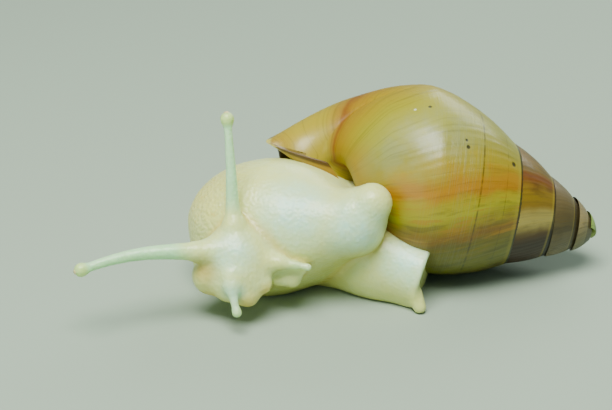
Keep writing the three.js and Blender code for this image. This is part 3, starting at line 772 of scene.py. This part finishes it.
def build_skin():
    values = skin_values().astype(np.float32)
    grid = openvdb.FloatGrid()
    grid.copyFromArray(values)
    points, quads = grid.convertToQuads(0.0)
    points = points * SKIN_CELL + SKIN_LOW
    outward = outward_direction(points)
    feeler = feeler_share(points)
    attributes = {
        # crease and underside mark where the skin's colour gets painted shade
        "crease": crease_share(points),
        "feeler": feeler,
        "underside": smoothstep(0.1, 0.9, -outward[:, 2]),
    }
    free = (1 - feeler) * smoothstep(0.2, 1.2, points[:, 2])
    points = points + outward * (skin_relief(points) * free)[:, None]
    skin = make_mesh("skin", points, quads[:, ::-1].tolist(), attributes)
    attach(skin, "root")
    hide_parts(*[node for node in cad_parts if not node.startswith(("eye", "shell"))])
    skin.data.materials.append(skin_material())
    return skin


# ------------------------------------------------------------------ eyes

def build_eye(side, feeler):
    """An eye ball with a slightly flattened front, set in the knob of an upper feeler."""
    outward = unit(np.array(feeler["points"][-1]) - np.array(feeler["points"][-2]))
    centre = np.array(feeler["points"][-1]) + outward * (feeler["bulb"] - EYE_RADIUS + EYE_PROUD)
    aside = unit(np.cross(outward, (0.0, 1.0, 0.3)))
    third = np.cross(outward, aside)
    polar, around = angle_grid(math.pi, EYE_GRID)
    bulge = EYE_RADIUS * (1 - 0.06 * np.exp(-(polar / 0.5) ** 2))
    points = centre + bulge[..., None] * (
        outward * np.cos(polar)[..., None]
        + aside * (np.sin(polar) * np.cos(around))[..., None]
        + third * (np.sin(polar) * np.sin(around))[..., None]
    )
    eye = make_mesh(f"eye_ball_{side}", points.reshape(-1, 3), grid_faces(*EYE_GRID))
    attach(eye, "root")
    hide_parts(f"eye_{side}")
    eye.data.materials.append(eye_material())
    return eye


# ------------------------------------------------------------------ materials

def linear(red, green, blue, depth=1.0):
    """A display colour, 0 to 255, as a linear one; a depth over 1 makes it richer and darker."""
    def channel(value):
        share = value / 255
        plain = share / 12.92 if share <= 0.04045 else ((share + 0.055) / 1.055) ** 2.4
        return plain ** depth

    return (channel(red), channel(green), channel(blue), 1.0)


class Graph:
    """Builds the node tree of one material; every method returns an output socket."""

    def __init__(self, name, depth=1.0):
        self.depth = depth
        self.material = bpy.data.materials.new(name)
        self.material.use_nodes = True
        self.tree = self.material.node_tree
        self.shader = self.tree.nodes["Principled BSDF"]

    def node(self, kind, settings=None, **inputs):
        made = self.tree.nodes.new(kind)
        for key, value in (settings or {}).items():
            setattr(made, key, value)
        for key, value in inputs.items():
            self.feed(made.inputs[key.replace("_", " ")], value)
        return made

    def feed(self, socket, value):
        if isinstance(value, bpy.types.NodeSocket):
            self.tree.links.new(value, socket)
        else:
            socket.default_value = value

    def attribute(self, name):
        made = self.tree.nodes.new("ShaderNodeAttribute")
        made.attribute_name = name
        return made.outputs["Fac"]

    def place(self):
        return self.node("ShaderNodeTexCoord").outputs["Object"]

    def math(self, operation, first, second=0.0, third=0.0):
        made = self.tree.nodes.new("ShaderNodeMath")
        made.operation = operation
        for socket, value in zip(made.inputs, (first, second, third)):
            self.feed(socket, value)
        return made.outputs[0]

    def add(self, first, second):
        return self.math("ADD", first, second)

    def times(self, first, second):
        return self.math("MULTIPLY", first, second)

    def combine(self, x, y, z):
        made = self.tree.nodes.new("ShaderNodeCombineXYZ")
        for socket, value in zip(made.inputs, (x, y, z)):
            self.feed(socket, value)
        return made.outputs[0]

    def noise(self, vector, scale, detail=3.0, roughness=0.5):
        made = self.node(
            "ShaderNodeTexNoise", Vector=vector, Scale=scale, Detail=detail, Roughness=roughness,
        )
        return made.outputs["Fac"]

    def cells(self, vector, scale, feature="F1"):
        made = self.node("ShaderNodeTexVoronoi", {"feature": feature}, Vector=vector, Scale=scale)
        return made.outputs["Distance"]

    def step(self, value, low, high):
        """Goes smoothly from 0 at low to 1 at high."""
        made = self.node("ShaderNodeMapRange", {"interpolation_type": "SMOOTHSTEP"}, Value=value)
        falling = low > high
        made.inputs["From Min"].default_value = min(low, high)
        made.inputs["From Max"].default_value = max(low, high)
        made.inputs["To Min"].default_value = 1.0 if falling else 0.0
        made.inputs["To Max"].default_value = 0.0 if falling else 1.0
        return made.outputs["Result"]

    def band(self, value, middle, half_width):
        """1 in the middle of a band, falling smoothly to 0 at its edges."""
        away = self.math("ABSOLUTE", self.add(value, -middle))
        return self.step(away, half_width, 0.0)

    def near(self, point, radius):
        """1 at a point of the drawing frame, falling to 0 at that distance in mm."""
        made = self.tree.nodes.new("ShaderNodeVectorMath")
        made.operation = "DISTANCE"
        self.feed(made.inputs[0], self.place())
        made.inputs[1].default_value = to_frame(np.array(point)).tolist()
        return self.step(made.outputs["Value"], radius * MM, 0.0)

    def mix(self, share, first, second, blend="MIX"):
        """Two colours mixed; the node's own sockets for colours are 6, 7 and, going out, 2."""
        made = self.tree.nodes.new("ShaderNodeMix")
        made.data_type = "RGBA"
        made.blend_type = blend
        self.feed(made.inputs[0], share)
        self.feed(made.inputs[6], first)
        self.feed(made.inputs[7], second)
        return made.outputs[2]

    def shade(self, colour):
        return linear(*colour, self.depth)

    def tint(self, colour, share, amount, shade, blend="MIX"):
        """The colour, moved by an amount towards another wherever the share is 1."""
        return self.mix(self.times(share, amount), colour, self.shade(shade), blend)

    def bands(self, value, stops):
        """Colours along a value, from a list of (value, colour) stops in rising order."""
        low, high = stops[0][0], stops[-1][0]
        ramp = self.tree.nodes.new("ShaderNodeValToRGB")
        elements = ramp.color_ramp.elements
        for k, (at, colour) in enumerate(stops):
            position = (at - low) / (high - low)
            element = elements[k] if k < 2 else elements.new(position)
            element.position = position
            element.color = self.shade(colour)
        self.feed(ramp.inputs["Fac"], self.node(
            "ShaderNodeMapRange", Value=value, From_Min=low, From_Max=high,
        ).outputs["Result"])
        return ramp.outputs["Color"]

    def bump(self, height, distance, strength, before=None):
        made = self.node("ShaderNodeBump", Height=height, Distance=distance * MM, Strength=strength)
        if before is not None:
            self.feed(made.inputs["Normal"], before)
        return made.outputs["Normal"]

    def surface(self, **inputs):
        for key, value in inputs.items():
            self.feed(self.shader.inputs[key.replace("_", " ")], value)
        return self.material


# ------------------------------------------------------------------ the shell's material

def wall_point(turn, fraction):
    turn, fraction = np.array(turn), np.array(fraction)
    along = suture_along(turn) + whorl_height(turn) * fraction
    return spiral_point(along, wall_radius(turn, fraction), turn)


def shell_fields(g):
    """The values over the shell that its colours and its relief are worked out from."""
    turn, fraction, growth = g.attribute("turn"), g.attribute("fraction"), g.attribute("growth")
    place = g.place()
    lines = g.combine(g.times(growth, STREAKS_PER_TURN), g.times(fraction, 1.6), 0.0)
    hairs = g.combine(g.times(growth, HAIRS_PER_TURN), g.times(fraction, 2.4), 0.3)
    dashes = g.combine(g.times(growth, DASHES_PER_TURN), g.times(fraction, 4.0), 0.7)
    grooves = g.combine(g.times(fraction, GROOVES_PER_WHORL), g.times(growth, 9.0), 0.9)
    weave = g.noise(grooves, 1.0, 2.0, 0.5)
    shoulder = g.times(g.band(fraction, 0.42, 0.30), g.step(turn, LAST_WHORL, LAST_WHORL + 0.05))
    return SimpleNamespace(
        turn=turn, fraction=fraction, growth=growth, place=place, lines=lines,
        cloud=g.noise(place, CLOUD_SCALE, 3.0, 0.55),
        streak=g.noise(lines, 1.0, 4.0, 0.6),
        hair=g.noise(hairs, 1.0, 3.0, 0.6),
        dash=g.noise(dashes, 1.0, 4.0, 0.62),
        woven=g.times(g.step(weave, 0.5, 0.62), shoulder),
        last_whorl=g.step(turn, LAST_WHORL, LAST_WHORL + 0.02),
    )


def shell_ground(g, f):
    """Bands of colour along the growth lines, which wander a little."""
    wander = g.times(g.add(g.noise(f.lines, 0.8, 2.0), -0.5), 0.05)
    drift = g.times(g.add(f.cloud, -0.5), 0.035)
    warped = g.add(f.growth, g.add(wander, drift))
    spire = g.step(f.turn, LAST_WHORL - 0.005, LAST_WHORL - 0.015)
    return g.mix(spire, g.bands(warped, WHORL_COLOURS), g.bands(warped, SPIRE_COLOURS))


def shell_flames(g, f, colour):
    """Brown flames, strongest on the old underside of the last whorl and on the spire."""
    flame = g.step(g.add(f.streak, g.times(g.add(f.cloud, -0.5), 0.5)), 0.56, 0.66)
    base = g.math("MULTIPLY_ADD", g.step(f.turn, LAST_WHORL - 0.01, LAST_WHORL), 0.6, 0.4)
    old = g.times(g.step(f.growth, 4.30, 4.16), base)
    return g.tint(colour, g.times(flame, old), 0.7, UMBER)


def shell_amber_shade(g, f, colour):
    """Painted shade and a painted amber glow next to the flesh and beside the lip."""
    edge = g.math("SUBTRACT", f.fraction, g.math("MULTIPLY_ADD", f.growth, 1.5, -5.83))
    near_flesh = g.times(g.step(edge, 0.0, 0.16), g.step(f.turn, 4.05, 4.15))
    near_flesh = g.math("MAXIMUM", near_flesh, g.near(LIP_NOTCH, 8.5))
    return g.tint(colour, near_flesh, 0.72, AMBER)


def shell_dashes(g, f, colour):
    """Short orange and umber dashes along the growth lines of the last whorl's first half."""
    striped = g.times(g.band(f.growth, 4.37, 0.12), f.last_whorl)
    colour = g.tint(colour, g.times(g.step(f.dash, 0.54, 0.64), striped), 0.75, AMBER)
    murk = g.times(g.step(f.dash, 0.46, 0.36), g.step(f.growth, 4.46, 4.40))
    return g.tint(colour, g.times(murk, f.last_whorl), 0.28, UMBER)


def shell_lines(g, f, colour):
    """A lilac patch on the shoulder, partly worn shell and partly a painted sheen, fine growth lines,
    and spiral grooves that cross them.
    """
    # painted sheen mixed with the worn shell on the shoulder
    wear_and_sheen = g.times(g.band(f.growth, 4.54, 0.10), g.band(f.fraction, 0.62, 0.40))
    colour = g.tint(colour, g.times(wear_and_sheen, g.step(f.cloud, 0.36, 0.62)), 0.62, LILAC)
    colour = g.tint(colour, g.step(f.hair, 0.5, 0.72), 0.3, LIP_PALE, "SOFT_LIGHT")
    colour = g.tint(colour, g.step(f.hair, 0.5, 0.3), 0.22, UMBER)
    return g.tint(colour, f.woven, 0.2, LILAC)


def shell_threads(g, f, colour):
    """Two thin dark threads that wind with the whorl, broken here and there."""
    thread = g.add(g.band(f.fraction, 0.305, 0.008), g.times(g.band(f.fraction, 0.155, 0.004), 0.6))
    broken = g.times(g.step(f.turn, 4.0, 4.1), g.step(g.noise(f.lines, 2.2, 2.0), 0.3, 0.6))
    return g.tint(colour, g.times(thread, broken), 0.7, UMBER)


def shell_suture(g, f, colour):
    """A dark line where the whorls meet, fainter on the young ones, with a pale rim beside it."""
    step = g.attribute("step")
    upper = g.step(f.fraction, 0.3, 0.2)
    beside = g.times(g.step(step, 0.14, 0.2), g.step(step, 0.5, 0.25))
    colour = g.tint(colour, g.times(upper, beside), 0.3, SUTURE_PALE)
    grown = g.math("MULTIPLY_ADD", g.step(f.turn, 2.7, 3.6), 0.45, 0.55)
    joint = g.times(g.times(upper, g.step(step, 0.17, 0.1)), grown)
    return g.tint(colour, joint, 0.85, SUTURE_DARK)


def shell_lip(g, f, colour):
    """The lip's rim and the inside behind it in brown painted shade, a painted highlight pale at its
    tip, and the milky inside of the aperture.
    """
    margin, inner = g.attribute("margin"), g.attribute("inner")
    rim = g.step(margin, 0.03, 0.012)
    # painted shade along the rolled rim
    colour = g.tint(colour, rim, 0.9, LIP_SHADE)
    # a painted highlight at the tip of the rim
    colour = g.tint(colour, rim, g.step(g.near(LIP_TIP, 5.0), 0.1, 0.4), LIP_PALE)
    # painted shade on the inside behind the lip
    colour = g.tint(colour, inner, 0.6, LIP_SHADE)
    deep = g.times(g.step(margin, 0.12, 0.3), g.step(f.fraction, 0.97, 0.9))
    return g.tint(colour, g.times(inner, deep), 0.85, PORCELAIN)


def shell_pits(g):
    pit = 0.0
    for at, part, size in PITS:
        pit = g.math("MAXIMUM", pit, g.near(wall_point(at, part), size))
    return pit


def shell_material():
    g = Graph("shell", SHELL_DEPTH)
    f = shell_fields(g)
    colour = shell_ground(g, f)
    for layer in (
        shell_flames, shell_amber_shade, shell_dashes, shell_lines,
        shell_threads, shell_suture, shell_lip,
    ):
        colour = layer(g, f, colour)
    pit = shell_pits(g)
    # painted shade in the pits
    colour = g.tint(colour, g.step(pit, 0.1, 0.6), 0.85, PIT_DARK)
    spot = g.near(wall_point(*EROSION_SPOT[:2]), EROSION_SPOT[2])
    colour = g.tint(colour, g.step(spot, 0.2, 0.6), 1.0, PORCELAIN)

    dull = g.math("MULTIPLY_ADD", g.step(f.turn, LAST_WHORL, 3.2), 0.1, 0.38)
    rough = g.add(dull, g.times(g.add(f.hair, -0.5), 0.16))
    normal = g.bump(f.hair, 0.05, 0.5)
    normal = g.bump(f.woven, 0.04, 0.5, normal)
    normal = g.bump(g.step(g.cells(f.place, PORE_SCALE), 0.0, 0.5), 0.012, 0.25, normal)
    normal = g.bump(pit, -0.12, 0.8, normal)
    return g.surface(
        Base_Color=colour, Roughness=rough, Normal=normal, Coat_Weight=0.14, Coat_Roughness=0.16,
        Subsurface_Weight=0.12, Subsurface_Radius=(0.9, 0.75, 0.3), Subsurface_Scale=0.8 * MM,
    )


# ------------------------------------------------------------------ the flesh's materials

def milky_and_highlight_share(g, place, mottle):
    """Where the skin is paler: painted highlights in a few broad patches, and faint milky clouds all
    over.
    """
    milky_and_lit = g.times(g.step(g.noise(place, PATCH_SCALE, 4.0, 0.6), 0.3, 0.7), 0.25)
    for centre, radius in HIGHLIGHT_PATCHES:
        milky_and_lit = g.math("MAXIMUM", milky_and_lit, g.near(centre, radius))
    return g.times(milky_and_lit, g.math("MULTIPLY_ADD", g.step(mottle, 0.3, 0.7), 0.35, 0.65))


def skin_shade_and_lip_tints(g, place, colour):
    """Painted shade, yellower and darker, low down, on the skin that faces down, in the folds and in
    the cheek's hollow; beside the mouth the tint is partly the lips' own and partly painted shade.
    """
    height = g.node("ShaderNodeSeparateXYZ", Vector=place).outputs["Z"]
    # painted shade towards the floor and on the skin that faces down
    low = g.times(g.step(height, 10.0 * MM, 1.5 * MM), 0.4)
    shaded = g.math("MAXIMUM", low, g.times(g.attribute("underside"), 0.75))
    colour = g.tint(colour, shaded, 1.0, OLIVE_SHADE)
    # painted shade in the creases where the masses meet
    colour = g.tint(colour, g.attribute("crease"), 0.45, HONEY)
    # painted shade in the cheek's hollow
    colour = g.tint(colour, g.near(CHEEK_HOLLOW, 4.2), 0.8, OCHRE)
    # honey at the lips: partly their own tint, partly painted shade under the head
    for centre, radius in LIP_TINTS:
        colour = g.tint(colour, g.near(centre, radius), 0.8, HONEY)
    return colour


def feeler_tints(g, colour):
    colour = g.tint(colour, g.attribute("feeler"), 0.75, MINT)
    for feeler in FEELERS:
        knob = g.near(feeler["points"][-1], feeler["bulb"] * 1.8)
        colour = g.tint(colour, g.step(knob, 0.1, 0.5), 0.75, KNOB)
    return colour


def skin_material():
    g = Graph("skin", SKIN_DEPTH)
    place = g.place()
    mottle = g.noise(place, MOTTLE_SCALE, 3.0, 0.55)
    speckle = g.noise(place, SPECKLE_SCALE, 2.0, 0.6)
    # cream, paling to milk in faint clouds and in the painted highlights
    colour = g.mix(milky_and_highlight_share(g, place, mottle), g.shade(CREAM), g.shade(MILK_AND_HIGHLIGHT))

    grainy = g.math("MAXIMUM", g.near(GRAINY_SIDE, 17.0), 0.15)
    colour = g.tint(colour, grainy, 0.35, HONEY)
    fleck = g.times(g.step(speckle, 0.56, 0.66), g.step(mottle, 0.42, 0.58))
    colour = g.tint(colour, g.times(fleck, grainy), 0.6, HONEY)
    colour = feeler_tints(g, skin_shade_and_lip_tints(g, place, colour))

    # Rounded grains on the sides, finer and flatter ones on the head and the feelers.
    pebbles = g.step(g.cells(place, GRAIN_SCALE, "SMOOTH_F1"), 0.75, 0.1)
    normal = g.bump(pebbles, 0.10, 0.35)
    normal = g.bump(g.times(pebbles, grainy), 0.2, 0.8, normal)
    normal = g.bump(mottle, 0.10, 0.35, normal)
    rough = g.math("MULTIPLY_ADD", mottle, 0.2, 0.28)
    return g.surface(
        Base_Color=colour, Roughness=rough, Normal=normal, Coat_Weight=0.3, Coat_Roughness=0.22,
        Subsurface_Weight=0.6, Subsurface_Radius=(0.95, 0.95, 0.6), Subsurface_Scale=2.2 * MM,
    )


def eye_material():
    g = Graph("eye")
    haze = g.noise(g.place(), HAZE_SCALE, 3.0, 0.5)
    colour = g.mix(g.step(haze, 0.35, 0.65), g.shade(EYE_DARK), g.shade(EYE_PALE))
    return g.surface(
        Base_Color=colour, Roughness=0.12, Coat_Weight=0.6, Coat_Roughness=0.05,
        Normal=g.bump(haze, 0.02, 0.2),
        Subsurface_Weight=0.4, Subsurface_Radius=(0.6, 0.45, 0.2), Subsurface_Scale=0.5 * MM,
    )


# ------------------------------------------------------------------ camera, floor and lights

def build_camera():
    data = bpy.data.cameras.new("camera")
    data.sensor_width = SENSOR_WIDTH
    data.lens = LENS
    data.clip_start = 0.01
    camera = bpy.data.objects.new("camera", data)
    back = np.array([0, -math.cos(CAMERA_ELEVATION), math.sin(CAMERA_ELEVATION)])
    camera.location = to_frame(CAMERA_TARGET + CAMERA_DISTANCE * back)
    camera.rotation_euler = Vector(-back).to_track_quat("-Z", "Y").to_euler()
    bpy.context.scene.collection.objects.link(camera)
    bpy.context.scene.camera = camera


def build_floor():
    corners = [(x * FLOOR_REACH, y * FLOOR_REACH, 0) for x, y in ((-1, -1), (1, -1), (1, 1), (-1, 1))]
    mesh = bpy.data.meshes.new("floor")
    mesh.from_pydata(corners, [], [(0, 1, 2, 3)])
    floor = bpy.data.objects.new("floor", mesh)
    bpy.context.scene.collection.objects.link(floor)
    g = Graph("floor")
    mesh.materials.append(g.surface(Base_Color=g.shade(FLOOR_COLOUR), Roughness=0.8))


def area_light(name, place, size, power, colour):
    data = bpy.data.lights.new(name, "AREA")
    data.shape = "RECTANGLE"
    data.size, data.size_y = size
    data.energy = power
    data.color = colour
    light = bpy.data.objects.new(name, data)
    light.location = place
    light.rotation_euler = (Vector(LIGHTS_AIM) - Vector(place)).to_track_quat("-Z", "Y").to_euler()
    bpy.context.scene.collection.objects.link(light)


def build_lights():
    for light in LIGHTS:
        area_light(*light)
    world = bpy.data.worlds.new("world")
    world.use_nodes = True
    background = world.node_tree.nodes["Background"]
    background.inputs["Color"].default_value = WORLD_COLOUR
    background.inputs["Strength"].default_value = WORLD_STRENGTH
    bpy.context.scene.world = world


build_camera()
build_floor()
build_lights()
build_shell()
build_skin()
build_eye("left", UPPER_LEFT)
build_eye("right", UPPER_RIGHT)
